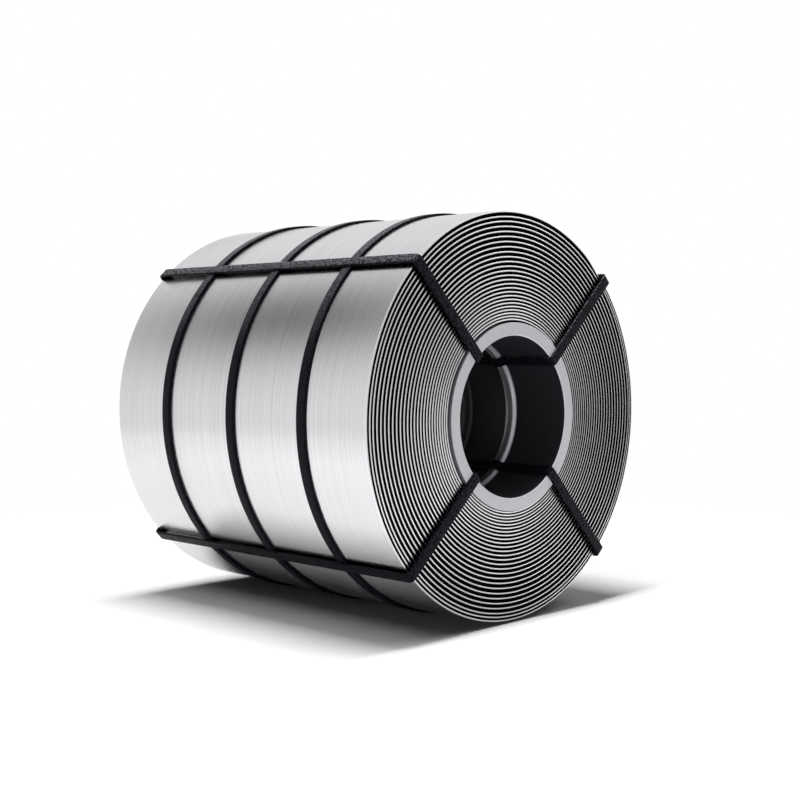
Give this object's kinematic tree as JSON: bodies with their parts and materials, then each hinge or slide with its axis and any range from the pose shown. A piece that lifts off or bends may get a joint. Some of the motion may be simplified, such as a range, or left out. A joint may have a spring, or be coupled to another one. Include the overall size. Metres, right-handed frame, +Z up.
{
  "type": "stainless steel strip coil",
  "caption": "Wide coil of stainless steel strip on a thick steel sleeve, lying on its side, with flat dark straps round its body and through its eye.",
  "frame": {"origin": "on the floor below the middle of the coil, at the lowest line of the belt straps", "axes": "+Z up; Y along the coil's own axis, with the front end towards -Y; X across the coil"},
  "size_m": [1.2964, 1.2506, 1.2966],
  "materials": {
    "strip": "brushed satin, with fine lines round the coil",
    "sleeve": "matt light grey ends, near black in the bore",
    "strap": "blue-black with a fine pebbled grain"
  },
  "bodies": {
    "root": {"steel_coil": "strip", "core_sleeve": "sleeve", "belt_strap_1": "strap", "belt_strap_2": "strap", "belt_strap_3": "strap", "eye_strap_1": "strap", "eye_strap_2": "strap", "eye_strap_3": "strap", "eye_strap_4": "strap"}
  },
  "joints": []
}
